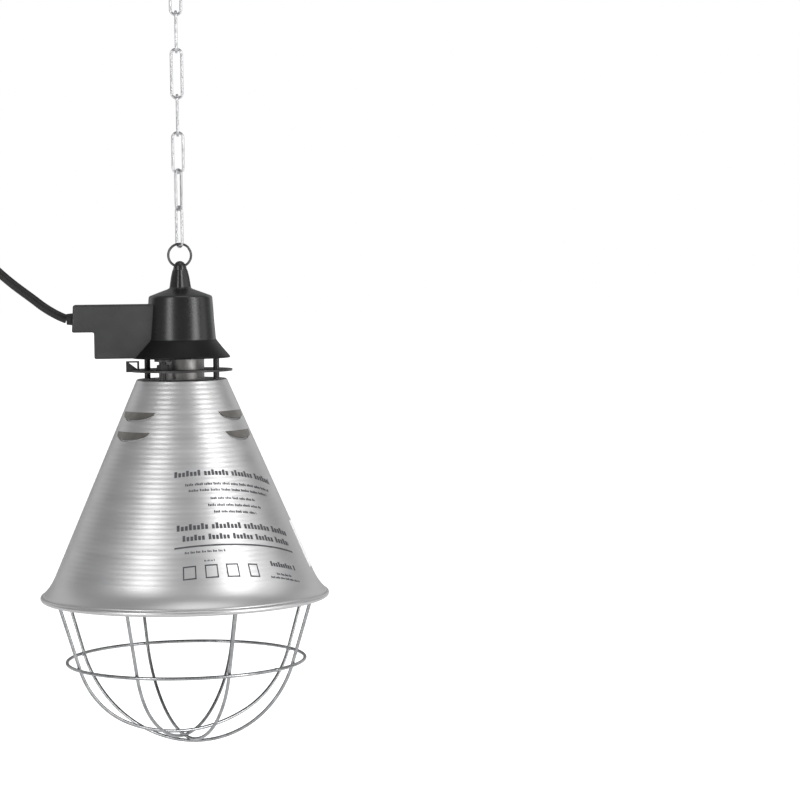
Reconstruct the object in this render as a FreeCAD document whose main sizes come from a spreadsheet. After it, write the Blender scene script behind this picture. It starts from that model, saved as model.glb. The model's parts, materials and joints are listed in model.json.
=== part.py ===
import FreeCAD, Part
import math
import os
import re

import Sketcher

# Hanging heat lamp with a pull-down wire guard, a steel chain and a long S-hook.
# Frame: +Z up, the origin is where the S-hook hangs, on the inside of its upper bend.
# The lamp head is drawn with z = 0 at the rim of its shade and is then lowered to rim_level.
# The junction box and the lead leave the head on the -X side.

DIMENSIONS = {
    # S-hook
    "hook_rod": 4.0,
    "hook_upper_bend": 12.0,
    "hook_lower_bend": 9.0,
    "hook_drop": 125.0,
    "hook_tip": 4.0,
    # chain and ring
    "link_wire": 2.0,
    "link_width": 9.5,
    "link_length": 28.95,
    "long_link_length": 35.35,
    "play": 0.15,
    "ring_wire": 1.8,
    "ring_outer": 18.2,
    "rim_level": -570.55,
    # shade, measured from the rim upward
    "rim_radius": 105.0,
    "bead_radius": 2.0,
    "bead_level": -0.8,
    "flare_radius": 93.6,
    "flare_level": 15.5,
    "neck_radius": 32.6,
    "neck_level": 157.0,
    "shade_wall": 1.0,
    "collar_bore": 20.5,
    "louvre_width": 32.0,
    "louvre_height": 3.6,
    "louvre_upper": 130.4,
    "louvre_lower": 116.4,
    "louvre_azimuth": 52.0,
    # hood
    "hood_level": 172.0,
    "skirt_radius": 35.4,
    "waist_radius": 25.3,
    "waist_level": 185.0,
    "shoulder_radius": 23.0,
    "shoulder_level": 217.0,
    "crown_radius": 7.9,
    "crown_level": 222.6,
    "hood_wall": 2.2,
    "stem_top_radius": 5.5,
    "stem_level": 236.0,
    "eye_radius": 5.4,
    "eye_width": 7.2,
    "eye_level": 237.0,
    "eye_bore": 1.7,
    "wire_entry_radius": 4.5,
    # posts between the shade and the hood
    "post_circle": 28.2,
    "post_radius": 2.2,
    "post_first": 62.0,
    "post_foot": 150.5,
    "post_head": 177.0,
    "nut_flats": 6.4,
    "nut_height": 3.0,
    "bolt_collar_radius": 6.2,
    "bolt_nut_flats": 8.0,
    # heat shield
    "shield_radius": 36.9,
    "shield_level": 162.4,
    "shield_wall": 1.5,
    "shield_bore": 17.4,
    "ear_width": 9.5,
    "ear_height": 8.0,
    "ear_reach": 40.0,
    # lampholder
    "holder_radius": 19.5,
    "holder_level": 176.0,
    "holder_top": 206.0,
    "holder_neck": 15.4,
    "holder_foot": 150.0,
    "holder_bore": 13.75,
    "shell_bore": 13.3,
    "shell_outer": 13.7,
    "shell_level": 151.0,
    "shell_length": 23.0,
    "sleeve_bore": 15.5,
    "sleeve_outer": 16.5,
    "sleeve_level": 148.0,
    "sleeve_top": 172.0,
    "holder_screw_offset": 17.3,
    "holder_screw_radius": 1.5,
    # junction box
    "box_end": 78.2,
    "box_slant": 1.1,
    "box_step": 62.4,
    "box_top": 211.4,
    "box_ledge": 191.6,
    "box_bottom": 172.4,
    "box_half_depth": 13.0,
    "box_wall": 1.6,
    "pillar_radius": 2.8,
    "cord_level": 201.1,
    # cord
    "cord_diameter": 6.5,
    "coil_mean_radius": 35.0,
    "coil_bundle": 19.8,
    "coil_level": -50.0,
    "coil_depth": 24.3,
    # guard
    "guard_wire": 2.4,
    "guard_ring_radius": 99.4,
    "guard_ring_level": 1.5,
    "hoop_radius": 86.6,
    "hoop_level": -48.5,
    "guard_lean": 17.7,
    "guard_shoulder": 70.0,
    "guard_depth": 108.5,
    "guard_stack": 2.5,
}

doc = FreeCAD.newDocument("heat_lamp")
sheet = doc.addObject("Spreadsheet::Sheet", "Dims")
for row, (alias, value) in enumerate(DIMENSIONS.items(), start=1):
    sheet.set(f"A{row}", alias)
    sheet.set(f"B{row}", str(value))
    sheet.setAlias(f"B{row}", alias)
doc.recompute()

nodes = []


def size(alias):
    """A dimension's number, for the shapes that are worked out in code."""
    return float(getattr(sheet, alias))


def bound(text):
    """An expression with every dimension's name turned into its cell."""
    return re.sub(r"[a-z][a-z_]*", lambda word: "Dims." + word.group(0), text)


def bind(obj, prop, text):
    obj.setExpression(prop, bound(text))


def vector(x=0.0, y=0.0, z=0.0):
    return FreeCAD.Vector(x, y, z)


def place(obj, at, turn=None):
    """Bind a primitive's position, after turning it if asked: turn is (axis, degrees)."""
    if turn:
        obj.Placement.Rotation = FreeCAD.Rotation(vector(*turn[0]), turn[1])
    for prop, text in zip(("x", "y", "z"), at):
        if text != "0":
            bind(obj, f"Placement.Base.{prop}", text)


ALONG_X = ((0, 1, 0), 90)


def cylinder(name, radius, height, at=("0", "0", "0"), turn=None):
    obj = doc.addObject("Part::Cylinder", name)
    bind(obj, "Radius", radius)
    bind(obj, "Height", height)
    place(obj, at, turn)
    return obj


def box(name, length, width, height, at):
    obj = doc.addObject("Part::Box", name)
    bind(obj, "Length", length)
    bind(obj, "Width", width)
    bind(obj, "Height", height)
    place(obj, at)
    return obj


def prism(name, flats, height, at):
    """A hexagonal nut blank, flats across, standing on its lower face."""
    obj = doc.addObject("Part::Prism", name)
    obj.Polygon = 6
    bind(obj, "Circumradius", f"({flats}) / 1.7320508")
    bind(obj, "Height", height)
    place(obj, at)
    return obj


def cut(name, base, *tools):
    obj = doc.addObject("Part::Cut", name)
    obj.Base = base
    obj.Tool = tools[0] if len(tools) == 1 else fuse(name + "_tools", *tools)
    return obj


def fuse(name, *parts):
    obj = doc.addObject("Part::MultiFuse", name)
    obj.Shapes = list(parts)
    return obj


def group(name, parts):
    """Several equal pieces in one node, each a solid of its own."""
    obj = doc.addObject("Part::Compound", name)
    obj.Links = list(parts)
    return obj


def node(obj, label, on_head=True):
    """Name a finished sub-part, and lower it with the lamp head if it was drawn there."""
    obj.Label = label
    if on_head:
        bind(obj, "Placement.Base.z", "rim_level")
    nodes.append(obj)
    return obj


def feature(label, shape, on_head=False):
    """A sub-part whose shape is worked out in code from the sheet's numbers."""
    obj = doc.addObject("Part::Feature", label + "_shape")
    obj.Shape = shape
    return node(obj, label, on_head)


def turned(name, outline):
    """A body turned about Z: a closed outline of (radius, height) expressions."""
    body = doc.addObject("PartDesign::Body", name)
    plane = next(f for f in body.Origin.OriginFeatures if f.Role == "XZ_Plane")
    sketch = body.newObject("Sketcher::SketchObject", name + "_outline")
    sketch.AttachmentSupport = [(plane, "")]
    sketch.MapMode = "FlatFace"
    corners = [[value_of(text) for text in pair] for pair in outline]
    for here, there in zip(corners, corners[1:] + corners[:1]):
        sketch.addGeometry(Part.LineSegment(vector(*here), vector(*there)), False)
    last = len(outline) - 1
    for i, pair in enumerate(outline):
        before = last if i == 0 else i - 1
        sketch.addConstraint(Sketcher.Constraint("Coincident", before, 2, i, 1))
        for kind, text in zip(("DistanceX", "DistanceY"), pair):
            index = sketch.addConstraint(Sketcher.Constraint(kind, i, 1, value_of(text)))
            bind(sketch, f"Constraints[{index}]", text)
    turn = body.newObject("PartDesign::Revolution", name + "_turn")
    turn.Profile = sketch
    turn.ReferenceAxis = (sketch, ["V_Axis"])
    turn.Angle = 360
    return body


def value_of(text):
    """The number that an expression of the sheet's names comes to."""
    return float(sheet.evalExpression(bound(text).replace("Dims.", "")))


def rod(path, radius):
    """A round bar along a path of touching, tangent edges."""
    start = path[0].valueAt(path[0].FirstParameter)
    heading = path[0].tangentAt(path[0].FirstParameter)
    section = Part.Wire(Part.Circle(start, heading, radius).toShape())
    return Part.Wire(path).makePipeShell([section], True, False)


def arc(centre, radius, start, end, across, up):
    """An arc edge in the plane of two unit vectors, from one angle to another in degrees."""

    def at(angle):
        a = math.radians(angle)
        return centre + across * (radius * math.cos(a)) + up * (radius * math.sin(a))

    return Part.Arc(at(start), at((start + end) / 2), at(end)).toShape()


def line(here, there):
    return Part.LineSegment(here, there).toShape()


def rounded_route(points, label):
    """Straight runs joined by tangent arcs, each as large as its two runs allow."""
    here = points[0]
    edges = []
    radii = []
    for before, corner, after in zip(points, points[1:], points[2:]):
        back = (before - corner).normalize()
        ahead = (after - corner).normalize()
        half_turn = (math.pi - back.getAngle(ahead)) / 2
        reach = 0.45 * min((before - corner).Length, (after - corner).Length)
        radius = reach / math.tan(half_turn)
        inward = (back + ahead).normalize()
        middle = corner + inward * (radius / math.cos(half_turn) - radius)
        start = corner + back * reach
        end = corner + ahead * reach
        edges.append(line(here, start))
        edges.append(Part.Arc(start, middle, end).toShape())
        here = end
        radii.append(radius)
    edges.append(line(here, points[-1]))
    print(f"{label}: bend radii {', '.join(f'{r:.0f}' for r in radii)} mm")
    return edges


# ---------------------------------------------------------------- hook, chain and ring


def make_hook():
    """Two bends in the YZ plane joined by a straight shank that is tangent to both."""
    rod_radius = size("hook_rod") / 2
    upper = size("hook_upper_bend")
    lower = size("hook_lower_bend")
    tip = size("hook_tip")
    upper_centre = vector(0, 0, rod_radius - upper)
    lower_centre = vector(0, 0, lower - size("hook_drop"))
    lean = math.degrees(math.asin((upper + lower) / (upper_centre.z - lower_centre.z)))
    across = vector(0, -1, 0)
    up = vector(0, 0, 1)
    lower_bend = arc(lower_centre, lower, 180, 360 + lean, across, up)
    upper_bend = arc(upper_centre, upper, 180 + lean, 0, across, up)
    lower_tip = lower_bend.valueAt(lower_bend.FirstParameter)
    upper_tip = upper_bend.valueAt(upper_bend.LastParameter)
    path = [
        line(lower_tip + up * tip, lower_tip),
        lower_bend,
        line(
            lower_bend.valueAt(lower_bend.LastParameter),
            upper_bend.valueAt(upper_bend.FirstParameter),
        ),
        upper_bend,
        line(upper_tip, upper_tip - up * tip),
    ]
    feature("hook", rod(path, rod_radius))


def link_shape(length, yaw, top):
    """A long round-ended link standing in the vertical plane at the yaw angle."""
    wire = size("link_wire") / 2
    half = size("link_width") / 2 - wire
    up = vector(0, 0, 1)
    upper_centre = vector(0, 0, top - half)
    lower_centre = vector(0, 0, top - length + half)

    def section(at):
        return Part.Face(Part.Wire(Part.Circle(at, up, wire).toShape()))

    pieces = []
    for side in (half, -half):
        pieces.append(section(lower_centre + vector(side)).extrude(upper_centre - lower_centre))
    pieces.append(section(lower_centre + vector(half)).revolve(lower_centre, vector(0, 1, 0), 180))
    pieces.append(section(upper_centre + vector(half)).revolve(upper_centre, vector(0, 1, 0), -180))
    link = pieces[0].fuse(pieces[1:]).removeSplitter()
    link.rotate(vector(), up, yaw)
    return link


LINK_YAWS = (0, 90, 0, 90, 0, 58, 122)
LONG_LINK = 3


def make_chain():
    """Seven links, each hung on the one above with a little play. The third is longer."""
    wire = size("link_wire")
    top = -size("hook_drop") + size("hook_rod") / 2 + wire / 2 + size("play")
    for number, yaw in enumerate(LINK_YAWS, start=1):
        length = size("long_link_length" if number == LONG_LINK else "link_length")
        feature(f"chain_link_{number}", link_shape(length, yaw, top))
        bottom = top - length
        print(f"chain_link_{number}: lower wire at z {bottom:.2f}")
        top = bottom + wire + size("play")
    return bottom


def make_ring(chain_bottom):
    """The ring through the last link and the hood's eye, in the XZ plane."""
    ring = doc.addObject("Part::Torus", "ring")
    bind(ring, "Radius1", "(ring_outer - ring_wire) / 2")
    bind(ring, "Radius2", "ring_wire / 2")
    drop = "(link_wire + ring_wire) / 2 + play - (ring_outer - ring_wire) / 2"
    ring.Placement = FreeCAD.Placement(
        vector(0, 0, chain_bottom + value_of(drop)),
        FreeCAD.Rotation(vector(1, 0, 0), 90),
    )
    node(ring, "split_ring", on_head=False)
    print(f"split_ring: centre at z {ring.Placement.Base.z:.2f}")


# ---------------------------------------------------------------- shade and its fixings


def azimuths():
    """The four post positions, a quarter turn apart."""
    return [size("post_first") + 90 * i for i in range(4)]


def bound_circle(obj, radius, azimuth, level, turn=None):
    """Bind a primitive to a place on a circle about the lamp's axis."""
    if turn is not None:
        obj.Placement.Rotation = FreeCAD.Rotation(vector(0, 0, 1), turn)
    a = math.radians(azimuth)
    obj.setExpression("Placement.Base.x", f"({bound(radius)}) * {math.cos(a):.6f}")
    obj.setExpression("Placement.Base.y", f"({bound(radius)}) * {math.sin(a):.6f}")
    obj.setExpression("Placement.Base.z", bound(level))
    return obj


def make_shade():
    """Spun cone with a flared rim, a rolled bead, an inner collar and eight vent slots."""
    lip = "rim_radius - bead_radius"
    sheet_body = turned(
        "shade_sheet",
        [
            ("neck_radius", "neck_level"),
            ("flare_radius", "flare_level"),
            (lip + " + 0.6", "bead_level + 1.4"),
            (lip + " - 0.8", "bead_level + 0.8"),
            ("flare_radius - shade_wall * 1.1", "flare_level - shade_wall * 0.4"),
            ("neck_radius - shade_wall * 0.66", "neck_level - shade_wall"),
            ("collar_bore", "neck_level - shade_wall"),
            ("collar_bore", "neck_level"),
        ],
    )
    bead = doc.addObject("Part::Torus", "shade_bead")
    bind(bead, "Radius1", lip)
    bind(bead, "Radius2", "bead_radius")
    bind(bead, "Placement.Base.z", "bead_level")
    whole = fuse("shade_whole", sheet_body, bead)
    cutters = []
    for quarter, base in enumerate((-90, -90, 90, 90)):
        side = 1 if quarter % 2 else -1
        azimuth = base + side * size("louvre_azimuth")
        for level in ("louvre_upper", "louvre_lower"):
            slot = doc.addObject("Part::Box", "louvre_slot")
            bind(slot, "Length", "neck_radius")
            bind(slot, "Width", "louvre_width")
            bind(slot, "Height", "louvre_height")
            turn = FreeCAD.Rotation(vector(0, 0, 1), azimuth)
            slot.Placement.Rotation = turn
            inner = turn.multVec(vector(size("neck_radius"), -size("louvre_width") / 2, 0))
            slot.Placement.Base = inner
            bind(slot, "Placement.Base.z", level)
            cutters.append(slot)
    for azimuth in azimuths():
        hole = cylinder("post_hole", "post_radius + 0.15", "4 * shade_wall")
        cutters.append(bound_circle(hole, "post_circle", azimuth, "neck_level - 2 * shade_wall"))
    node(cut("shade_cut", whole, *cutters), "shade")


def make_posts():
    """Three plain studs, and at the front left a thicker bolt with a collar and a nut."""
    height = "post_head - post_foot"
    studs = []
    nuts = []
    for azimuth in azimuths():
        nut = prism("post_nut_blank", "nut_flats", "nut_height", ("0", "0", "0"))
        bound_circle(nut, "post_circle", azimuth, "neck_level - shade_wall - nut_height", azimuth)
        hole = cylinder("post_nut_hole", "post_radius", "nut_height")
        bound_circle(hole, "post_circle", azimuth, "neck_level - shade_wall - nut_height")
        nuts.append(cut("post_nut", nut, hole))
        stud = cylinder("stud", "post_radius", height)
        bound_circle(stud, "post_circle", azimuth, "post_foot")
        studs.append(stud)
    bolt = studs.pop(2)
    collar = cylinder("bolt_collar", "bolt_collar_radius", "1.6")
    bound_circle(collar, "post_circle", azimuths()[2], "hood_level - 1.7")
    node(fuse("bolt_fused", bolt, collar), "front_bolt")
    nut = prism("bolt_nut_blank", "bolt_nut_flats", "4", ("0", "0", "0"))
    bound_circle(nut, "post_circle", azimuths()[2], "shield_level + shield_wall + 0.1", 12)
    hole = cylinder("bolt_nut_hole", "post_radius", "4")
    bound_circle(hole, "post_circle", azimuths()[2], "shield_level + shield_wall + 0.1")
    node(cut("bolt_nut_cut", nut, hole), "bolt_nut")
    node(group("studs", studs), "posts")
    node(group("nuts", nuts), "post_nuts")


def make_heat_shield():
    """A thin disc round the lampholder, with a braced ear standing on its left side."""
    disc = cylinder("shield_disc", "shield_radius", "shield_wall", ("0", "0", "shield_level"))
    ear = box(
        "shield_ear",
        "ear_width",
        "shield_wall",
        "ear_height",
        ("-ear_reach", "-shield_wall / 2 - 6", "shield_level"),
    )
    reach = size("ear_width") - 3.4
    rise = size("ear_height") - 3.4
    triangle = Part.Face(
        Part.makePolygon(
            [vector(0, 0, rise), vector(reach, 0, rise), vector(reach, 0, 0), vector(0, 0, rise)]
        )
    ).extrude(vector(0, 6, 0))
    window = doc.addObject("Part::Feature", "ear_window")
    window.Shape = triangle
    window.Placement.Base = vector(
        1.9 - size("ear_reach"), -9, size("shield_level") + 2.3
    )
    whole = fuse("shield_fused", disc, ear)
    tools = [
        window,
        cylinder("shield_hole", "shield_bore", "3 * shield_wall", ("0", "0", "shield_level - 1")),
    ]
    for azimuth in azimuths():
        hole = cylinder("shield_post_hole", "post_radius + 0.1", "3 * shield_wall")
        tools.append(bound_circle(hole, "post_circle", azimuth, "shield_level - 1"))
    node(cut("shield_cut", whole, *tools), "heat_shield")


# ---------------------------------------------------------------- hood and lampholder


def hood_outside(name):
    return turned(
        name,
        [
            ("0", "hood_level"),
            ("skirt_radius", "hood_level"),
            ("skirt_radius", "hood_level + 0.8"),
            ("waist_radius", "waist_level"),
            ("shoulder_radius", "shoulder_level"),
            ("crown_radius", "crown_level"),
            ("0", "crown_level"),
        ],
    )


def make_hood():
    """Moulded bell: skirt, body, stem and eye, hollow below, with bosses for its fixings."""
    cavity = turned(
        "hood_cavity",
        [
            ("0", "hood_level - 1"),
            ("skirt_radius - hood_wall", "hood_level - 1"),
            ("skirt_radius - hood_wall", "hood_level + 0.3"),
            ("waist_radius - hood_wall", "waist_level"),
            ("shoulder_radius - hood_wall", "shoulder_level - hood_wall"),
            ("crown_radius - hood_wall", "crown_level - hood_wall * 1.3"),
            ("0", "crown_level - hood_wall * 1.3"),
        ],
    )
    shell = cut("hood_shell", hood_outside("hood_outer"), cavity)
    stem = doc.addObject("Part::Cone", "hood_stem")
    bind(stem, "Radius1", "crown_radius - 0.4")
    bind(stem, "Radius2", "stem_top_radius")
    bind(stem, "Height", "stem_level - crown_level + 0.5")
    bind(stem, "Placement.Base.z", "crown_level - 0.5")
    eye = cylinder(
        "hood_eye", "eye_radius", "eye_width", ("-eye_width / 2", "0", "eye_level"), ALONG_X
    )
    solid = [shell, stem, eye]
    for side in ("", "-"):
        solid.append(
            cylinder(
                "holder_boss",
                "3.2",
                "shoulder_level - holder_top - 0.2",
                ("0", side + "holder_screw_offset", "holder_top + 0.2"),
            )
        )
    boss_room = []
    for azimuth in azimuths():
        boss = cylinder("post_boss", "post_radius + 1.9", "6.4")
        boss_room.append(bound_circle(boss, "post_circle", azimuth, "hood_level + 0.1"))
    bosses = doc.addObject("Part::MultiCommon", "post_bosses")
    bosses.Shapes = [fuse("post_boss_rods", *boss_room), hood_outside("hood_trim")]
    whole = fuse("hood_whole", *solid, bosses)
    bore = doc.addObject("Part::Torus", "eye_bore")
    bind(bore, "Radius1", "(ring_outer - ring_wire) / 2")
    bind(bore, "Radius2", "eye_bore")
    bore.Placement.Rotation = FreeCAD.Rotation(vector(1, 0, 0), 90)
    bind(
        bore,
        "Placement.Base.z",
        "eye_level + (eye_radius - 4.85) + (ring_outer - ring_wire) / 2",
    )
    tools = [bore]
    for azimuth in azimuths():
        hole = cylinder("boss_hole", "post_radius + 0.1", "5.2")
        tools.append(bound_circle(hole, "post_circle", azimuth, "hood_level - 0.1"))
    for side in ("", "-"):
        tools.append(
            cylinder(
                "holder_boss_hole",
                "holder_screw_radius + 0.05",
                "7",
                ("0", side + "holder_screw_offset", "holder_top"),
            )
        )
    tools.append(
        cylinder(
            "wire_entry",
            "wire_entry_radius",
            "8",
            ("-waist_radius - 3", "0", "cord_level - 5"),
            ALONG_X,
        )
    )
    node(cut("hood_cut", whole, *tools), "hood")


def make_lampholder():
    """Ceramic body, brass screw shell, sprung centre contact and plated sleeve."""
    base = cylinder(
        "ceramic_base", "holder_radius", "holder_top - holder_level", ("0", "0", "holder_level")
    )
    neck = cylinder(
        "ceramic_neck", "holder_neck", "holder_level - holder_foot + 1", ("0", "0", "holder_foot")
    )
    tools = [
        cylinder(
            "ceramic_bore",
            "holder_bore",
            "holder_level - holder_foot + 3",
            ("0", "0", "holder_foot - 1"),
        )
    ]
    screws = []
    for side in ("", "-"):
        offset = side + "holder_screw_offset"
        tools.append(
            cylinder(
                "ceramic_hole",
                "holder_screw_radius + 0.1",
                "holder_top - holder_level + 2",
                ("0", offset, "holder_level - 1"),
            )
        )
        shank = cylinder("screw_shank", "holder_screw_radius", "36.5", ("0", offset, "holder_level - 0.1"))
        head = cylinder("screw_head", "1.8", "2.2", ("0", offset, "holder_level - 2.3"))
        screws.append(fuse("holder_screw", shank, head))
    node(cut("ceramic_cut", fuse("ceramic_whole", base, neck), *tools), "lampholder_body")
    node(group("holder_screw_pair", screws), "holder_screws")
    shell = cylinder("shell_outside", "shell_outer", "shell_length", ("0", "0", "shell_level"))
    bore = cylinder("shell_inside", "shell_bore", "shell_length + 2", ("0", "0", "shell_level - 1"))
    node(cut("shell_cut", shell, bore), "screw_shell")
    button = cylinder("contact_button", "3", "0.8", ("0", "0", "holder_level - 1.6"))
    stalk = cylinder("contact_stalk", "1.1", "3", ("0", "0", "holder_level - 1"))
    node(fuse("contact_fused", button, stalk), "centre_contact")
    outer = cylinder(
        "sleeve_outside", "sleeve_outer", "sleeve_top - sleeve_level", ("0", "0", "sleeve_level")
    )
    inner = cylinder(
        "sleeve_inside", "sleeve_bore", "sleeve_top - sleeve_level + 2", ("0", "0", "sleeve_level - 1")
    )
    node(cut("sleeve_cut", outer, inner), "holder_sleeve")


# ---------------------------------------------------------------- junction box


def box_block(name, inset, front, back):
    """The box's side outline, inset on every side, between two depths."""
    end = -size("box_end") + inset
    slant = size("box_slant")
    top = size("box_top") - inset
    ledge = size("box_ledge") + inset
    step = -size("box_step") + inset
    bottom = size("box_bottom") + inset
    corners = [
        vector(end + slant, front, top),
        vector(end, front, ledge),
        vector(step, front, ledge),
        vector(step, front, bottom),
        vector(0, front, bottom),
        vector(0, front, top),
    ]
    block = Part.Face(Part.makePolygon(corners + corners[:1])).extrude(vector(0, back - front, 0))
    obj = doc.addObject("Part::Feature", name)
    obj.Shape = block
    return obj


def make_junction_box():
    """Stepped tray that meets the hood, closed at the back by a screwed cover."""
    depth = size("box_half_depth")
    wall = size("box_wall")
    tray = box_block("box_outside", 0, -depth, depth - wall)
    room = box_block("box_inside", wall, wall - depth, depth)
    entry = cylinder(
        "cord_entry", "4.4", "box_wall + 4", ("-box_end - 2", "0", "cord_level"), ALONG_X
    )
    walls = cut("box_walls", tray, fuse("box_rooms", room, entry))
    pillars = []
    places = ((-57.4, 176.6), (-42.0, 207.2))
    for x, z in places:
        pillar = doc.addObject("Part::Cylinder", "cover_pillar")
        bind(pillar, "Radius", "pillar_radius")
        pillar.Placement = FreeCAD.Placement(
            vector(x, wall / 2 - depth, z), FreeCAD.Rotation(vector(1, 0, 0), -90)
        )
        bind(pillar, "Height", "2 * box_half_depth - 1.5 * box_wall")
        pillars.append(pillar)
    solid = fuse("box_solid", walls, *pillars)
    holes = []
    screws = []
    for x, z in places:
        for name, radius, height, start in (
            ("pillar_hole", "1.25", "12", depth - wall - 11),
            ("cover_screw_shank", "1.2", "12.9", depth - wall - 10.9),
            ("cover_screw_head", "2.4", "1.3", depth),
        ):
            piece = doc.addObject("Part::Cylinder", name)
            bind(piece, "Radius", radius)
            bind(piece, "Height", height)
            piece.Placement = FreeCAD.Placement(
                vector(x, start, z), FreeCAD.Rotation(vector(1, 0, 0), -90)
            )
            if name == "pillar_hole":
                holes.append(piece)
            elif name == "cover_screw_shank":
                shank = piece
            else:
                screws.append(fuse("cover_screw", shank, piece))
    hood = hood_outside("box_trim")
    node(cut("box_cut", solid, hood, *holes), "junction_box")
    cover = box_block("cover_blank", 0, depth - wall, depth)
    clearance = []
    for x, z in places:
        hole = doc.addObject("Part::Cylinder", "cover_hole")
        bind(hole, "Radius", "1.3")
        bind(hole, "Height", "box_wall + 2")
        hole.Placement = FreeCAD.Placement(
            vector(x, depth - wall - 1, z), FreeCAD.Rotation(vector(1, 0, 0), -90)
        )
        clearance.append(hole)
    node(cut("cover_cut", cover, hood_outside("cover_trim"), *clearance), "box_cover")
    node(group("cover_screw_set", screws), "box_screws")


def make_box_contents():
    """Cord end, bush, clamp, terminal block and the two inner wires."""
    level = size("rim_level") + size("cord_level")
    cord = size("cord_diameter") / 2
    end = size("box_end")
    bush = Part.makeCone(6.2, 5.3, 16, vector(-62, 0, level), vector(-1, 0, 0))
    neck = Part.makeCylinder(4.3, 4.2, vector(-75, 0, level), vector(-1, 0, 0))
    collar = Part.makeCone(4.3, 3.9, 3, vector(-79.2, 0, level), vector(-1, 0, 0))
    block = bush.common(Part.makeBox(13, 30, 30, vector(-75, -15, level - 15)))
    tail = block.fuse([neck, collar]).removeSplitter()
    hole = Part.makeCylinder(cord, 30, vector(-58, 0, level), vector(-1, 0, 0))
    feature("strain_relief", tail.cut(hole))
    inner = Part.makeCylinder(cord, end + 4 - 48, vector(-48, 0, level), vector(-1, 0, 0))
    feature("cord_end", inner)
    clamp = Part.makeBox(7, 17, 4.6, vector(-58.5, -8.5, level + 1.2))
    clamp = clamp.cut(Part.makeCylinder(cord, 20, vector(-45, 0, level), vector(-1, 0, 0)))
    base = Part.makeBox(7, 17, 2.4, vector(-58.5, -8.5, level - 5.65))
    screws = []
    for y in (-6.2, 6.2):
        hole = Part.makeCylinder(1.35, 20, vector(-55, y, level - 10))
        clamp = clamp.cut(hole)
        base = base.cut(hole)
        shank = Part.makeCylinder(1.25, 12.2, vector(-55, y, level - 6.3))
        head = Part.makeCylinder(2.2, 1.4, vector(-55, y, level + 5.85))
        screws.append(shank.fuse(head))
    feature("cord_clamp", clamp)
    feature("clamp_base", base)
    feature("clamp_screws", Part.makeCompound(screws))
    floor = size("rim_level") + size("box_bottom") + size("box_wall")
    terminals = Part.makeBox(14, 18, 11, vector(-53, -9.5, floor + 0.05))
    contact_screws = []
    for y in (-5, 4):
        well = Part.makeCylinder(2.1, 5, vector(-46, y, floor + 6.5))
        port = Part.makeCylinder(1.3, 20, vector(-58, y, floor + 4.5), vector(1, 0, 0))
        terminals = terminals.cut(well.fuse(port))
        contact_screws.append(Part.makeCylinder(1.9, 3, vector(-46, y, floor + 6.6)))
    feature("terminal_block", terminals)
    feature("terminal_screws", Part.makeCompound(contact_screws))
    for name, y in (("line_wire", -5), ("neutral_wire", 4)):
        side = 1 if y > 0 else -1
        route = [
            vector(-41, y, floor + 4.5),
            vector(-34.5, y, floor + 4.8),
            vector(-32, y * 0.6, floor + 12),
            vector(-31, 1.6 * side, floor + 19),
            vector(-25, 1.5 * side, floor + 21.7),
            vector(-21.4, 1.6 * side, floor + 22),
        ]
        feature(name, rod(rounded_route(route, name), 1.1))


# ---------------------------------------------------------------- cord, coil, tie and plug

LEAD_ROUTE = [
    (-82.2, 0, -369.3),
    (-92.5, 0, -365.9),
    (-106, 0, -356.6),
    (-126, 0, -341.8),
    (-149, 0.5, -317.5),
    (-167, 1.5, -284),
    (-176, 3, -244),
    (-178.5, 5, -202),
    (-176.5, 7, -161),
    (-172.25, 8.5, -140.5),
]
RISE_ROUTE = [
    (-172.25, 8.5, -140.5),
    (-168, 10, -120),
    (-153, 13, -82),
    (-129, 15.3, -50.5),
    (-98, 16.7, -28),
    (-61, 17.4, -13.5),
    (-22, 17.7, -6.8),
]
TAIL_ROUTE = [
    (8, 32.4, -22.4),
    (20, 35.6, -23.6),
    (33.5, 38, -27.2),
    (46, 38.4, -34.6),
    (54, 38.4, -45.5),
    (56.6, 38.4, -58),
]


def make_cord():
    """The lead, its rise to the tied coil, and the short tail from the coil to the plug."""
    radius = size("cord_diameter") / 2
    routes = (("cord_lead", LEAD_ROUTE), ("cord_rise", RISE_ROUTE), ("cord_tail", TAIL_ROUTE))
    for name, points in routes:
        path = rounded_route([vector(*p) for p in points], name)
        tube = rod(path, radius)
        length = sum(edge.Length for edge in path)
        ratio = tube.Volume / (math.pi * radius**2 * length)
        print(f"{name}: {length:.0f} mm long, volume over section times length {ratio:.4f}")
        feature(name, tube)
    feature("cord_coil", coil_shape())


def coil_shape():
    """The outside of the wound coil: a rounded square turned about the coil's own axis."""
    corner = 4.0
    flat = size("coil_bundle") / 2 - corner
    centre = vector(0, size("coil_depth"), size("coil_level"))
    out = vector(0, 0, 1)
    deep = vector(0, 1, 0)
    middle = centre + out * size("coil_mean_radius")
    edges = []
    previous = None
    for step, (a, b) in enumerate(((1, 1), (-1, 1), (-1, -1), (1, -1))):
        at = middle + out * (flat * a) + deep * (flat * b)
        bend = arc(at, corner, 90 * step, 90 * step + 90, out, deep)
        start = bend.valueAt(bend.FirstParameter)
        if previous is not None:
            edges.append(line(previous, start))
        edges.append(bend)
        previous = bend.valueAt(bend.LastParameter)
    first = edges[0].valueAt(edges[0].FirstParameter)
    edges.append(line(previous, first))
    return Part.Face(Part.Wire(edges)).revolve(centre, deep, 360)


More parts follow.
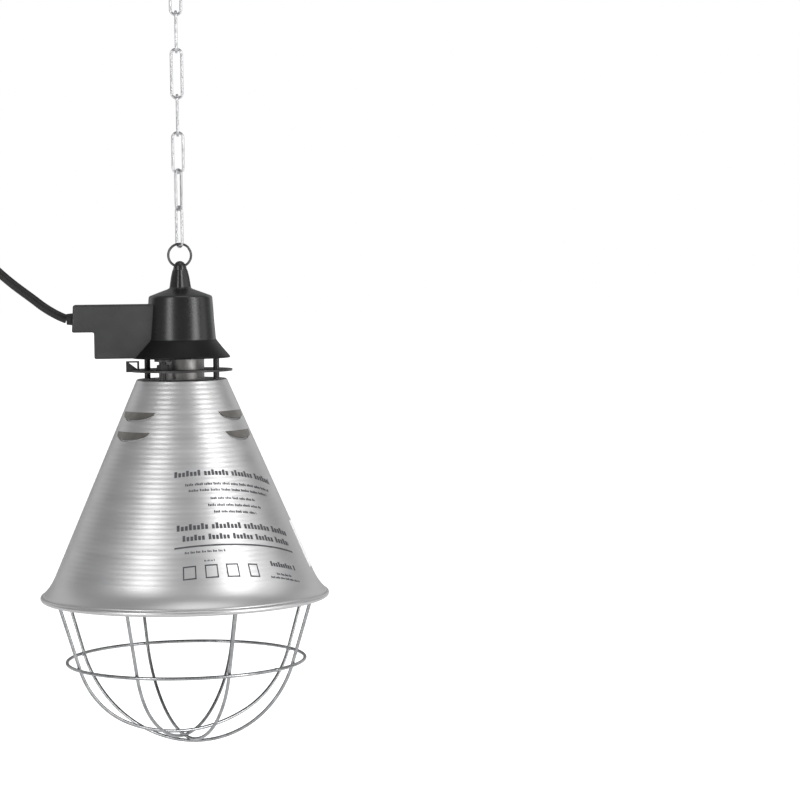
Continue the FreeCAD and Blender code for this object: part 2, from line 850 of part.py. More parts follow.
def make_tie():
    """A strap slung crosswise round the top of the coil and the hook's shank, with its lock."""
    width = 4.6
    strap = 1.2
    near = 7.8
    far = size("coil_depth") + size("coil_bundle") / 2 + 0.3
    half = 15.6
    middle = vector(0, 0, size("coil_level") + size("coil_mean_radius"))

    def frame(thick, length, round_by):
        blank = Part.makeBox(
            length,
            far - near + 2 * thick,
            2 * half + 2 * thick,
            middle + vector(-length / 2, near - thick, -half - thick),
        )
        return blank.makeFillet(round_by, [e for e in blank.Edges if abs(e.tangentAt(0).x) > 0.9])

    loop = frame(strap, width, 4.2).cut(frame(0, width + 2, 3.0))
    lock = Part.makeBox(6.6, 5.2, 7.4, middle + vector(-3.3, far + strap - 0.2, -2))
    tail = Part.makeBox(width, strap, 19, middle + vector(-width / 2, far + strap + 2.4, 5))
    tie = loop.fuse([lock, tail]).removeSplitter()
    tie.rotate(middle, vector(0, 1, 0), -45)
    feature("coil_tie", tie)


def make_plug():
    """Flat round two-pin plug hanging on the tail, with its tapered cord relief."""
    x, y, _ = TAIL_ROUTE[-1]
    top = TAIL_ROUTE[-1][2]
    down = vector(0, 0, -1)
    start = top + 2
    relief = Part.makeCone(4.4, 6.4, 20, vector(x, y, start), down)
    relief = relief.cut(Part.makeCylinder(size("cord_diameter") / 2, 20 - 5, vector(x, y, start), down))
    feature("plug_relief", relief)
    shoulder = start - 20
    sections = []
    for drop, wide, deep in ((0, 8.4, 7.4), (9, 13.5, 10.2), (20, 17.6, 12.8), (30, 17.6, 13.2)):
        ellipse = Part.Ellipse(vector(x, y, shoulder - drop), wide, deep)
        sections.append(Part.Wire(ellipse.toShape()))
    body = Part.makeLoft(sections, True, False)
    face = shoulder - 30
    pins = []
    for side in (-1, 1):
        at = vector(x + side * 9.5, y, face + 8)
        body = body.cut(Part.makeCylinder(2.4, 10, at, down))
        shank = Part.makeCylinder(2.4, 25, at, down)
        tip = Part.makeCone(2.4, 1.4, 1.6, at + down * 25, down)
        pins.append(shank.fuse(tip).removeSplitter())
    feature("plug_body", body)
    feature("plug_pins", Part.makeCompound(pins))


# ---------------------------------------------------------------- guard


def guard_arch(depth, azimuth):
    """One wire of the guard: two leaning legs, two shoulders and a wide bottom arc."""
    lean = math.radians(size("guard_lean"))
    shoulder = size("guard_shoulder")
    hip = size("hoop_radius") - size("guard_wire") - 0.1
    level = size("hoop_level")
    top = size("guard_ring_level") - size("guard_wire") / 2 - 0.45
    across = vector(math.cos(math.radians(azimuth)), math.sin(math.radians(azimuth)), 0)
    up = vector(0, 0, 1)
    reach = hip - shoulder * math.cos(lean)
    centre_level = level + shoulder * math.sin(lean)
    rise = centre_level + depth
    bottom = (shoulder**2 - reach**2 - rise**2) / (2 * (shoulder - rise))
    bottom_centre = up * (bottom - depth)
    swing = math.degrees(math.atan2(centre_level - bottom_centre.z, reach))
    edges = []
    for side in (-1, 1):
        out = across * side
        head = out * (hip + (top - level) * math.tan(lean)) + up * top
        knee = out * hip + up * level
        shoulder_centre = out * reach + up * centre_level
        bend = arc(shoulder_centre, shoulder, -math.degrees(lean), swing, out, up)
        if side < 0:
            edges += [line(head, knee), bend]
        else:
            edges += [
                arc(shoulder_centre, shoulder, swing, -math.degrees(lean), out, up),
                line(knee, head),
            ]
    left_end = edges[1].valueAt(edges[1].LastParameter)
    right_end = edges[2].valueAt(edges[2].FirstParameter)
    base = Part.Arc(left_end, up * -depth, right_end).toShape()
    return rod(edges[:2] + [base] + edges[2:], size("guard_wire") / 2)


ARCH_AZIMUTHS = (154.0, 110.5, 65.75, 25.5)


def make_guard():
    """Four arches stacked at the pole, a ring inside the rim and a hoop round the arches."""
    for number, azimuth in enumerate(ARCH_AZIMUTHS, start=1):
        depth = size("guard_depth") - size("guard_stack") * (number - 1)
        feature(f"guard_wire_{number}", guard_arch(depth, azimuth), on_head=True)
    for name, radius, level in (
        ("guard_ring", "guard_ring_radius", "guard_ring_level"),
        ("guard_hoop", "hoop_radius", "hoop_level"),
    ):
        ring = doc.addObject("Part::Torus", name + "_torus")
        bind(ring, "Radius1", radius)
        bind(ring, "Radius2", "guard_wire / 2")
        ring.Label = name
        bind(ring, "Placement.Base.z", f"rim_level + {level}")
        nodes.append(ring)


def make_guard_clips():
    """Four leaf springs on the inside of the flare that grip the guard's ring."""
    clips = []
    rivets = []
    inside = size("guard_ring_radius") - size("guard_wire") / 2 - 0.15
    for azimuth in (20.0, 110.0, 200.0, 290.0):
        profile = [
            vector(inside - 0.6, -4, 0.6),
            vector(inside, -4, 0.6),
            vector(inside, -4, 5.2),
            vector(91.4, -4, 16.9),
            vector(90.1, -4, 20.2),
            vector(89.5, -4, 20.0),
            vector(90.8, -4, 16.6),
            vector(inside - 0.6, -4, 5.0),
        ]
        leaf = Part.Face(Part.makePolygon(profile + profile[:1])).extrude(vector(0, 8, 0))
        outward = vector(1, 0, 0.43)
        rivet = Part.makeCylinder(1.5, 1.9, vector(88.9, 0, 17.6), outward)
        leaf = leaf.cut(Part.makeCylinder(1.55, 4, vector(88.4, 0, 17.385), outward))
        for piece, store in ((leaf, clips), (rivet, rivets)):
            piece.rotate(vector(), vector(0, 0, 1), azimuth)
            store.append(piece)
    feature("guard_clips", Part.makeCompound(clips), on_head=True)
    feature("clip_rivets", Part.makeCompound(rivets), on_head=True)


# ---------------------------------------------------------------- make, check and write

make_hook()
make_ring(make_chain())
make_shade()
make_posts()
make_heat_shield()
make_hood()
make_lampholder()
make_junction_box()
make_box_contents()
make_cord()
make_tie()
make_plug()
make_guard()
make_guard_clips()
doc.recompute()

for obj in doc.Objects:
    if "Invalid" in obj.State or "Error" in obj.State:
        raise RuntimeError(f"{obj.Label} did not build: {obj.State}")
for obj in nodes:
    if obj.Shape.isNull() or not obj.Shape.isValid() or not obj.Shape.Solids:
        raise RuntimeError(f"{obj.Label} is not a valid solid")
os.makedirs("parts", exist_ok=True)
for obj in nodes:
    obj.Shape.exportStep(f"parts/{obj.Label}.step")
print(f"{len(nodes)} sub-parts written")
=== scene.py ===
import json
import math

import bmesh
import bpy
from mathutils import Matrix, Vector


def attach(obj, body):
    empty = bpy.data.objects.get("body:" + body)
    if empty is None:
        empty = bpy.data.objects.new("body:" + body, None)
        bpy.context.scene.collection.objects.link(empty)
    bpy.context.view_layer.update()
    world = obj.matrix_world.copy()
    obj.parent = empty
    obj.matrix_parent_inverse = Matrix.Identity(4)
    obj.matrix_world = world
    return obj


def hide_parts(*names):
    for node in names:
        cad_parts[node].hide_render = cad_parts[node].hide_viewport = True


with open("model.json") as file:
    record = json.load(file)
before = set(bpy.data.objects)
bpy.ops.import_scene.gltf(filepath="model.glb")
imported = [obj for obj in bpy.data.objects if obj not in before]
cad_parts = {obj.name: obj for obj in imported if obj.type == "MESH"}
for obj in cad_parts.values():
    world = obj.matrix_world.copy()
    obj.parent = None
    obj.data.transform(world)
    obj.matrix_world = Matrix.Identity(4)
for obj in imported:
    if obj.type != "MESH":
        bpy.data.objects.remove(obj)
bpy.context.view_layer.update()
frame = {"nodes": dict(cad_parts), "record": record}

MM = 0.001
TAU = 2 * math.pi
# The level of the shade's rim, in metres. The heights of the shade, hood, box and guard are in mm
# from here. The cords' routes, the coil and the split ring have levels of their own.
RIM = -0.57055

# ------------------------------------------------------------------ materials


def link(tree, source, target):
    tree.links.new(source, target)


def node_of(tree, kind, **values):
    made = tree.nodes.new(kind)
    for key, value in values.items():
        setattr(made, key, value)
    return made


def noise(tree, coords, scale, detail=3.0, stretch=None):
    """Noise over the object's own coordinates, stretched along an axis if asked."""
    source = coords
    if stretch:
        mapping = node_of(tree, "ShaderNodeMapping")
        mapping.inputs["Scale"].default_value = stretch
        link(tree, coords, mapping.inputs["Vector"])
        source = mapping.outputs["Vector"]
    texture = node_of(tree, "ShaderNodeTexNoise")
    texture.inputs["Scale"].default_value = scale
    texture.inputs["Detail"].default_value = detail
    link(tree, source, texture.inputs["Vector"])
    return texture.outputs["Fac"]


def ramp(tree, value, low, high, start=0.3, end=0.7):
    """A colour between low and high, by a value."""
    made = node_of(tree, "ShaderNodeValToRGB")
    made.color_ramp.elements[0].position = start
    made.color_ramp.elements[0].color = (*low, 1)
    made.color_ramp.elements[1].position = end
    made.color_ramp.elements[1].color = (*high, 1)
    link(tree, value, made.inputs["Fac"])
    return made.outputs["Color"]


def spread(tree, value, low, high, start=0.3, end=0.7):
    """A number between low and high, by a value."""
    made = node_of(tree, "ShaderNodeMapRange")
    made.inputs["From Min"].default_value = start
    made.inputs["From Max"].default_value = end
    made.inputs["To Min"].default_value = low
    made.inputs["To Max"].default_value = high
    link(tree, value, made.inputs["Value"])
    return made.outputs["Result"]


def bump(tree, height, strength, distance, under=None):
    made = node_of(tree, "ShaderNodeBump")
    made.inputs["Strength"].default_value = strength
    made.inputs["Distance"].default_value = distance
    link(tree, height, made.inputs["Height"])
    if under:
        link(tree, under, made.inputs["Normal"])
    return made.outputs["Normal"]


def surface(
    name,
    dark,
    light,
    metallic=0.0,
    rough=(0.3, 0.45),
    patch=60.0,
    grain=900.0,
    relief=0.05,
    stretch=None,
    coat=0.0,
    specular=0.5,
):
    """A material whose colour and roughness vary in patches, with a fine grain in its relief."""
    made = bpy.data.materials.new(name)
    made.use_nodes = True
    tree = made.node_tree
    shader = tree.nodes["Principled BSDF"]
    coords = node_of(tree, "ShaderNodeTexCoord").outputs["Object"]
    cloud = noise(tree, coords, patch, 4.0)
    fine = noise(tree, coords, grain, 2.0, stretch)
    link(tree, ramp(tree, cloud, dark, light), shader.inputs["Base Color"])
    link(tree, spread(tree, fine, *rough), shader.inputs["Roughness"])
    link(tree, bump(tree, fine, relief, 0.0004), shader.inputs["Normal"])
    shader.inputs["Metallic"].default_value = metallic
    shader.inputs["Coat Weight"].default_value = coat
    shader.inputs["Specular IOR Level"].default_value = specular
    return made


def spun_aluminium():
    """Aluminium turned on a lathe: fine rings round Z, each a little different."""
    made = bpy.data.materials.new("spun_aluminium")
    made.use_nodes = True
    tree = made.node_tree
    shader = tree.nodes["Principled BSDF"]
    coords = node_of(tree, "ShaderNodeTexCoord").outputs["Object"]
    rings = noise(tree, coords, 1.0, 3.0, (1.5, 1.5, 900.0))
    bands = noise(tree, coords, 1.0, 2.0, (1.0, 1.0, 120.0))
    cloud = noise(tree, coords, 22.0, 5.0)
    link(
        tree,
        ramp(tree, cloud, (0.49, 0.485, 0.482), (0.525, 0.525, 0.53)),
        shader.inputs["Base Color"],
    )
    link(tree, spread(tree, bands, 0.33, 0.41), shader.inputs["Roughness"])
    link(tree, bump(tree, rings, 0.14, 0.0002), shader.inputs["Normal"])
    shader.inputs["Metallic"].default_value = 1.0
    shader.inputs["Anisotropic"].default_value = 0.45
    tangent = node_of(tree, "ShaderNodeTangent", direction_type="RADIAL", axis="Z")
    link(tree, tangent.outputs["Tangent"], shader.inputs["Tangent"])
    return made


MATERIALS = {
    "spun_aluminium": spun_aluminium(),
    # The flaps are the shade's own aluminium in a darker, browner grey: painted shade on the pressed
    # flaps.
    "vent_metal_painted_shade": surface(
        "vent_metal_painted_shade", (0.17, 0.16, 0.148), (0.25, 0.238, 0.22), 1.0, (0.38, 0.5), 120, 900, 0.03
    ),
    # The flat collar is the shade's own aluminium in a duller, lighter grey: painted light on its
    # upward faces.
    "collar_painted_light": surface(
        "collar_painted_light", (0.42, 0.42, 0.42), (0.52, 0.52, 0.52), 0.2, (0.5, 0.6), 60, 900, 0.04
    ),
    # Near-black for the flaps' lower lips: painted shade for the dark gap under each lip.
    "louvre_lip_painted_shade": surface("louvre_lip_painted_shade", (0.03, 0.028, 0.026), (0.06, 0.055, 0.05), 0.6),
    "black_moulding": surface(
        "black_moulding", (0.003, 0.003, 0.003), (0.005, 0.005, 0.005),
        rough=(0.27, 0.33), patch=35, grain=700, relief=0.010, specular=0.55,
    ),
    "skirt_moulding": surface(
        "skirt_moulding", (0.004, 0.004, 0.004), (0.007, 0.007, 0.007),
        rough=(0.40, 0.48), patch=50, grain=900, relief=0.03, specular=0.15,
    ),
    # The box's flat front and back: a grained finish, and a grey lighter than the edges that is
    # painted light.
    "box_face_grain_and_painted_light": surface(
        "box_face_grain_and_painted_light", (0.026, 0.026, 0.027), (0.042, 0.042, 0.043),
        rough=(0.55, 0.7), patch=45, grain=2600, relief=0.22, specular=0.35,
    ),
    "box_moulding": surface(
        "box_moulding", (0.010, 0.010, 0.010), (0.018, 0.018, 0.018),
        rough=(0.35, 0.5), patch=45, grain=2200, relief=0.12,
    ),
    "zinc_steel": surface(
        "zinc_steel", (0.50, 0.51, 0.52), (0.66, 0.66, 0.65), 1.0, (0.22, 0.36), 180, 1500, 0.08
    ),
    "cord_rubber": surface(
        "cord_rubber", (0.004, 0.004, 0.004), (0.009, 0.009, 0.009),
        rough=(0.40, 0.52), patch=80, grain=2400, relief=0.06, specular=0.35,
    ),
    "white_plastic": surface("white_plastic", (0.68, 0.67, 0.62), (0.8, 0.79, 0.75)),
    "label_paper": surface(
        "label_paper", (0.76, 0.76, 0.755), (0.80, 0.80, 0.795), rough=(0.5, 0.6), patch=40
    ),
    "brass": surface("brass", (0.62, 0.44, 0.17), (0.8, 0.6, 0.27), 1.0, (0.18, 0.32), 150),
    "brown_insulation": surface("brown_insulation", (0.13, 0.055, 0.025), (0.19, 0.08, 0.035)),
    "blue_insulation": surface("blue_insulation", (0.03, 0.10, 0.34), (0.05, 0.15, 0.44)),
    "porcelain": surface(
        "porcelain", (0.74, 0.72, 0.66), (0.86, 0.84, 0.79),
        rough=(0.12, 0.22), patch=70, grain=700, relief=0.04, coat=0.5,
    ),
    "plated_sleeve": surface(
        "plated_sleeve", (0.26, 0.255, 0.25), (0.36, 0.355, 0.345), 1.0, (0.42, 0.55), 120, 1.0,
        0.08, (30, 30, 1500),
    ),
    "black_steel": surface(
        "black_steel", (0.008, 0.008, 0.008), (0.02, 0.019, 0.018),
        rough=(0.35, 0.55), patch=120, grain=1800, relief=0.15,
    ),
    "spring_steel": surface("spring_steel", (0.30, 0.30, 0.31), (0.46, 0.46, 0.47), 1.0),
    "rivet_aluminium": surface("rivet_aluminium", (0.56, 0.56, 0.57), (0.7, 0.7, 0.71), 1.0),
    "tie_plastic": surface("tie_plastic", (0.012, 0.012, 0.012), (0.02, 0.02, 0.02)),
    "plug_rubber": surface(
        "plug_rubber", (0.012, 0.012, 0.013), (0.026, 0.026, 0.027),
        rough=(0.45, 0.62), patch=70, grain=2600, relief=0.2,
    ),
    "nickel_pins": surface("nickel_pins", (0.6, 0.58, 0.53), (0.74, 0.72, 0.67), 1.0, (0.12, 0.25)),
    "ring_steel": surface(
        "ring_steel", (0.06, 0.06, 0.063), (0.13, 0.13, 0.135), 1.0, (0.22, 0.36), 260, 1800, 0.06
    ),
    "chain_steel": surface(
        "chain_steel", (0.42, 0.42, 0.43), (0.58, 0.58, 0.59), 1.0, (0.16, 0.30), 240, 1600, 0.06
    ),
    "guard_steel": surface(
        "guard_steel", (0.24, 0.245, 0.25), (0.38, 0.385, 0.39), 1.0, (0.20, 0.34), 200, 1600, 0.05
    ),
    "print_ink": surface(
        "print_ink", (0.03, 0.03, 0.035), (0.07, 0.07, 0.075), rough=(0.5, 0.65), patch=300
    ),
}

# Every carried-over CAD node takes the material of its slot in the record.
for part in frame["record"]["subparts"]:
    shown = frame["nodes"][part["node"]]
    shown.data.materials.clear()
    shown.data.materials.append(MATERIALS[part["material_slot"]])
# The nut of the front bolt is blackened like the bolt itself.
frame["nodes"]["bolt_nut"].data.materials[0] = MATERIALS["black_steel"]

# ------------------------------------------------------------------ camera and light

CAMERA_AT = Vector((0.0, -1.752, -0.3385))
CAMERA_YAW = math.radians(5.19)  # to the right, so that the lamp stands left of the middle
CAMERA_PITCH = math.radians(3.04)  # downward
CAMERA_ROLL = math.radians(0.7)
CAMERA_LENS = 108.05

camera = bpy.data.objects.new("camera", bpy.data.cameras.new("camera"))
camera.data.lens = CAMERA_LENS
camera.matrix_world = (
    Matrix.Translation(CAMERA_AT)
    @ Matrix.Rotation(-CAMERA_YAW, 4, "Z")
    @ Matrix.Rotation(math.pi / 2 - CAMERA_PITCH, 4, "X")
    @ Matrix.Rotation(-CAMERA_ROLL, 4, "Z")
)
bpy.context.collection.objects.link(camera)
bpy.context.scene.camera = camera
bpy.context.scene.view_settings.view_transform = "Standard"

LAMP_MIDDLE = Vector((0, 0, RIM + 0.09))


def softbox(name, at, width, height, power, aim=LAMP_MIDDLE):
    lamp = bpy.data.lights.new(name, "AREA")
    lamp.shape = "RECTANGLE"
    lamp.size = width
    lamp.size_y = height
    lamp.energy = power
    made = bpy.data.objects.new(name, lamp)
    made.location = at
    made.rotation_euler = (aim - Vector(at)).to_track_quat("-Z", "Y").to_euler()
    bpy.context.collection.objects.link(made)
    return made


# The two narrow softboxes at the front make the bright bands on the shade and the hood.
softbox("softbox_left", (-1.10, -1.35, -0.05), 0.46, 1.7, 14.0)
softbox("softbox_right", (1.30, -1.05, -0.05), 0.56, 1.7, 17.5)
softbox("softbox_side", (1.60, -0.15, -0.05), 0.6, 1.7, 3.0)
softbox("softbox_top", (0.2, -0.3, 1.5), 1.2, 1.2, 7.0)
softbox("softbox_back_left", (-1.3, 1.2, 0.0), 0.9, 1.5, 2.4)
softbox("softbox_back_right", (1.1, 1.4, 0.0), 0.9, 1.5, 2.4)

world = bpy.data.worlds.new("studio")
world.use_nodes = True
bpy.context.scene.world = world
sky = world.node_tree
room = sky.nodes["Background"]
room.inputs["Color"].default_value = (0.98, 0.985, 1.0, 1)
ROOM_LOW = 0.31  # the room is dim at eye level
ROOM_HIGH = 0.44  # and brighter overhead
direction = node_of(sky, "ShaderNodeTexCoord").outputs["Generated"]
axes = node_of(sky, "ShaderNodeSeparateXYZ")
link(sky, direction, axes.inputs["Vector"])
link(
    sky,
    spread(sky, axes.outputs["Z"], ROOM_LOW, ROOM_HIGH, 0.2, 0.6),
    room.inputs["Strength"],
)
backdrop = node_of(sky, "ShaderNodeBackground")
backdrop.inputs["Color"].default_value = (1, 1, 1, 1)
backdrop.inputs["Strength"].default_value = 1.0
choice = node_of(sky, "ShaderNodeMixShader")
link(sky, node_of(sky, "ShaderNodeLightPath").outputs["Is Camera Ray"], choice.inputs["Fac"])
link(sky, room.outputs["Background"], choice.inputs[1])
link(sky, backdrop.outputs["Background"], choice.inputs[2])
link(sky, choice.outputs["Shader"], sky.nodes["World Output"].inputs["Surface"])

FLOOR_LEVEL = -0.86
bpy.ops.mesh.primitive_plane_add(size=60, location=(0, 0, FLOOR_LEVEL))
floor = bpy.context.object
floor.name = "floor"
paper = bpy.data.materials.new("floor_paper")
paper.use_nodes = True
paper_shader = paper.node_tree.nodes["Principled BSDF"]
paper_shader.inputs["Base Color"].default_value = (0.82, 0.82, 0.82, 1)
paper_shader.inputs["Roughness"].default_value = 0.9
paper_shader.inputs["Specular IOR Level"].default_value = 0.1
paper_shader.inputs["Emission Color"].default_value = (1, 1, 1, 1)
paper_shader.inputs["Emission Strength"].default_value = 0.3
glow = node_of(paper.node_tree, "ShaderNodeEmission")
glow.inputs["Strength"].default_value = 0.55
seen = node_of(paper.node_tree, "ShaderNodeMixShader")
both_shaders = node_of(paper.node_tree, "ShaderNodeAddShader")
link(paper.node_tree, paper_shader.outputs["BSDF"], both_shaders.inputs[0])
link(paper.node_tree, glow.outputs["Emission"], both_shaders.inputs[1])
path = node_of(paper.node_tree, "ShaderNodeLightPath").outputs["Is Camera Ray"]
link(paper.node_tree, path, seen.inputs["Fac"])
link(paper.node_tree, paper_shader.outputs["BSDF"], seen.inputs[1])
link(paper.node_tree, both_shaders.outputs["Shader"], seen.inputs[2])
link(paper.node_tree, seen.outputs["Shader"], paper.node_tree.nodes["Material Output"].inputs[0])
floor.data.materials.append(paper)

# ------------------------------------------------------------------ making pieces


def finish_piece(obj, name, material, body, replaced=()):
    obj.name = name
    if not obj.data.materials:
        obj.data.materials.append(MATERIALS[material])
    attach(obj, body)
    if replaced:
        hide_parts(*replaced)
    return obj


def mesh_object(name, verts, faces, smooth=True):
    """A mesh from points in metres, with its faces turned outward."""
    data = bpy.data.meshes.new(name)
    data.from_pydata([tuple(v) for v in verts], [], faces)
    shape = bmesh.new()
    shape.from_mesh(data)
    bmesh.ops.recalc_face_normals(shape, faces=shape.faces)
    shape.to_mesh(data)
    shape.free()
    for face in data.polygons:
        face.use_smooth = smooth
    made = bpy.data.objects.new(name, data)
    bpy.context.collection.objects.link(made)
    return made


def lathe(name, outline, steps):
    """Turns a closed outline of (radius, height) in mm, measured from the rim, about Z."""
    verts = []
    faces = []
    count = len(outline)
    for step in range(steps):
        angle = TAU * step / steps
        for radius, height in outline:
            verts.append(
                (radius * MM * math.cos(angle), radius * MM * math.sin(angle), RIM + height * MM)
            )
    for step in range(steps):
        here = step * count
        there = (step + 1) % steps * count
        for row in range(count):
            after = (row + 1) % count
            faces.append((here + row, here + after, there + after, there + row))
    return mesh_object(name, verts, faces)


def weld(obj):
    """Joins the points that a lathe leaves in one place on its axis."""
    shape = bmesh.new()
    shape.from_mesh(obj.data)
    bmesh.ops.remove_doubles(shape, verts=shape.verts, dist=1e-6)
    shape.to_mesh(obj.data)
    shape.free()
    return obj


def apply_modifier(obj, kind, **values):
    change = obj.modifiers.new("change", kind)
    for key, value in values.items():
        setattr(change, key, value)
    bpy.context.view_layer.update()
    made = bpy.data.meshes.new_from_object(
        obj.evaluated_get(bpy.context.evaluated_depsgraph_get())
    )
    obj.modifiers.clear()
    obj.data = made
    return obj


def sharpen(obj, degrees):
    """Smooth shading, but for edges sharper than an angle."""
    obj.data.shade_smooth()
    limit = math.radians(degrees)
    shape = bmesh.new()
    shape.from_mesh(obj.data)
    for edge in shape.edges:
        if len(edge.link_faces) == 2 and edge.calc_face_angle() > limit:
            edge.smooth = False
    shape.to_mesh(obj.data)
    shape.free()
    return obj


def spline_curve(name, points, radius, sides=6, cyclic=False):
    """A round cord or wire on one NURBS spline whose control points are in metres."""
    data = bpy.data.curves.new(name, "CURVE")
    data.dimensions = "3D"
    data.bevel_depth = radius
    data.bevel_resolution = sides
    data.use_fill_caps = True
    data.resolution_u = 10
    spline = data.splines.new("NURBS")
    spline.points.add(len(points) - 1)
    for point, at in zip(spline.points, points):
        point.co = (*at, 1)
    spline.order_u = 3
    spline.use_endpoint_u = not cyclic
    spline.use_cyclic_u = cyclic
    made = bpy.data.objects.new(name, data)
    bpy.context.collection.objects.link(made)
    return made


# ------------------------------------------------------------------ the lead and its coil

CORD_RADIUS = 0.00325  # metres, as the spline takes it
# The routes are in mm. The lead ends on the lamp, and the rise carries on from there on the hanger.
LEAD_ROUTE = [
    (-82.2, 0, -369.3),
    (-87, 0, -367.6),
    (-98, 0, -361),
    (-106, 0, -354.5),
    (-121, 0, -343.2),
    (-135, 0.2, -330.5),
    (-153, 0.6, -311),
    (-168, 1.7, -282),
    (-176, 3, -244),
    (-178.5, 5, -202),
    (-176.5, 7, -161),
    (-172.25, 8.5, -140.5),
]
RISE_ROUTE = [
    (-172.25, 8.5, -140.5),
    (-168, 10, -120),
    (-153, 13, -82),
    (-129, 15.3, -50.5),
    (-98, 16.7, -28),
    (-61, 17.4, -13.5),
    (-22, 17.7, -6.8),
    (-9, 17.7, -5.9),
]
TAIL_ROUTE = [
    (0.2, 32, -21.3),
    (11, 35.2, -21.2),
    (22, 37.5, -20.9),
    (32.5, 38.4, -21.6),
    (42, 38.4, -25),
    (49.6, 38.4, -31.2),
    (54.6, 38.4, -39.2),
    (56.4, 38.4, -48.4),
    (56.6, 38.4, -58),
]
# The coil is wound clockwise as seen from the front, in lanes of (radius, depth) in mm.
COIL_CENTRE = (0.0, -50.0)
LANES = [
    (41.5, 17.7), (41.5, 24.3), (41.5, 30.9),
    (35.0, 30.9), (35.0, 24.3), (35.0, 17.7),
    (28.5, 17.7), (28.5, 24.3), (28.5, 30.9),
]
TURN_POINTS = 16
LANE_CHANGE = (0.45, 0.8)  # the part of a turn over which the cord steps to its next lane
OUTSET = 1 / 0.981  # control points of a turn stand outside the turn by this much


def coil_points():
    """Control points of the wound turns, each turn a hair larger or smaller than the last."""
    points = []
    for turn, (radius, depth) in enumerate(LANES):
        after = LANES[min(turn + 1, len(LANES) - 1)]
        for step in range(TURN_POINTS):
            part = step / TURN_POINTS
            share = (part - LANE_CHANGE[0]) / (LANE_CHANGE[1] - LANE_CHANGE[0])
            share = min(max(share, 0.0), 1.0)
            share = share * share * (3 - 2 * share)
            wander = 0.25 * math.sin(3.1 * turn + TAU * part)
            reach = (radius + (after[0] - radius) * share + wander) * OUTSET
            angle = TAU * part
            points.append(
                (
                    COIL_CENTRE[0] + reach * math.sin(angle),
                    depth + (after[1] - depth) * share,
                    COIL_CENTRE[1] + reach * math.cos(angle),
                )
            )
    return points


def metres(points):
    return [tuple(value * MM for value in point) for point in points]


lead = spline_curve("lead", metres(LEAD_ROUTE), CORD_RADIUS)
finish_piece(lead, "lead", "cord_rubber", "lamp", ["cord_lead"])
coil = spline_curve(
    "lead_coil", metres(RISE_ROUTE + coil_points() + TAIL_ROUTE), CORD_RADIUS
)
finish_piece(
    coil, "lead_coil", "cord_rubber", "hanger",
    ["cord_rise", "cord_coil", "cord_tail"],
)

# ------------------------------------------------------------------ shade

NECK = (32.6, 157.0)  # radius and height of the cone's top, in mm from the rim
FLARE = (93.6, 15.5)  # and of its foot, where the flare starts
COLLAR_HOLE = 20.5  # radius of the hole in the flat collar
TAPER = (FLARE[0] - NECK[0]) / (NECK[1] - FLARE[1])
CONE_TILT = math.atan(TAPER)
RIDGE_PITCH = 3.4
RIDGE_DEPTH = 0.035
CONE_ROWS = 210
INNER_ROWS = 30
LATHE_STEPS = 240
SHADE_WALL = 1.0
CONE_TOP = 156.3  # where the rounding at the collar ends
INNER_ROOF = 156.0
INNER_FOOT = 15.1
BEAD = (103.0, -0.8, 2.0)  # radius, height and thickness radius of the rolled rim


def cone_radius(height):
    return NECK[0] + (NECK[1] - height) * TAPER


def on_cone(azimuth, height, proud=0.0):
    """A point on the cone, in metres: azimuth from the front towards +X, in degrees."""
    radius = cone_radius(height) + proud * math.cos(CONE_TILT)
    turn = math.radians(azimuth)
    return Vector(
        (
            radius * MM * math.sin(turn),
            -radius * MM * math.cos(turn),
            RIM + (height + proud * math.sin(CONE_TILT)) * MM,
        )
    )


def shade_outline():
    outline = [(COLLAR_HOLE, NECK[1]), (31.7, NECK[1]), (32.4, 156.75)]
    for row in range(CONE_ROWS + 1):
        height = CONE_TOP + (FLARE[1] - CONE_TOP) * row / CONE_ROWS
        ridge = RIDGE_DEPTH * math.sin(TAU * (NECK[1] - height) / RIDGE_PITCH)
        outline.append((cone_radius(height) + ridge, height))
    outline += [(94.9, 12.7), (96.4, 9.9), (98.1, 7.2), (99.9, 4.8), (101.5, 3.1), (102.5, 2.0)]
    outline += [(102.75, 1.55), (102.85, 1.25)]
    for step in range(11):
        angle = math.radians(80 - step * 25)
        outline.append(
            (BEAD[0] + BEAD[2] * math.cos(angle), BEAD[1] + BEAD[2] * math.sin(angle))
        )
    outline += [(101.5, 1.0), (100.6, 2.5), (99.1, 4.2), (97.3, 6.7), (95.6, 9.4), (94.1, 12.2)]
    for row in range(INNER_ROWS + 1):
        height = INNER_FOOT + (INNER_ROOF - INNER_FOOT) * row / INNER_ROWS
        outline.append((cone_radius(height) - SHADE_WALL / math.cos(CONE_TILT), height))
    outline.append((COLLAR_HOLE, INNER_ROOF))
    return outline


# Each vent is a half-moon flap that hangs from its straight upper edge, pressed outward.
# (azimuth, half its width in degrees, level of its upper edge)
VENTS = [
    (azimuth + turn, half, level)
    for turn in (0, 180)
    for azimuth, half, level in (
        (-50.5, 23.5, 134.4),
        (57.5, 20.5, 134.4),
        (-50.5, 21.5, 120.4),
        (57.5, 18.5, 120.4),
    )
]
VENT_DROP = 5.9
VENT_LIFT = 1.9
VENT_WALL = 0.8
FLAP_PROUD = 0.22  # keeps a flap's straight edge off the cone
OPEN_WIDTH = 0.97  # the opening's half width, as a share of the flap's
OPEN_BELOW = 1.15  # how far it reaches below the lip, in mm
OPEN_ABOVE = 0.45  # and where it starts, as a share of the lip's drop
OPEN_DEPTHS = (1.5, -3.0)


def vent_edge(across):
    """How far a flap hangs below its upper edge, for a place across it from -1 to 1."""
    return VENT_DROP * max(0.0, 1 - abs(across) ** 2.2) ** 0.62


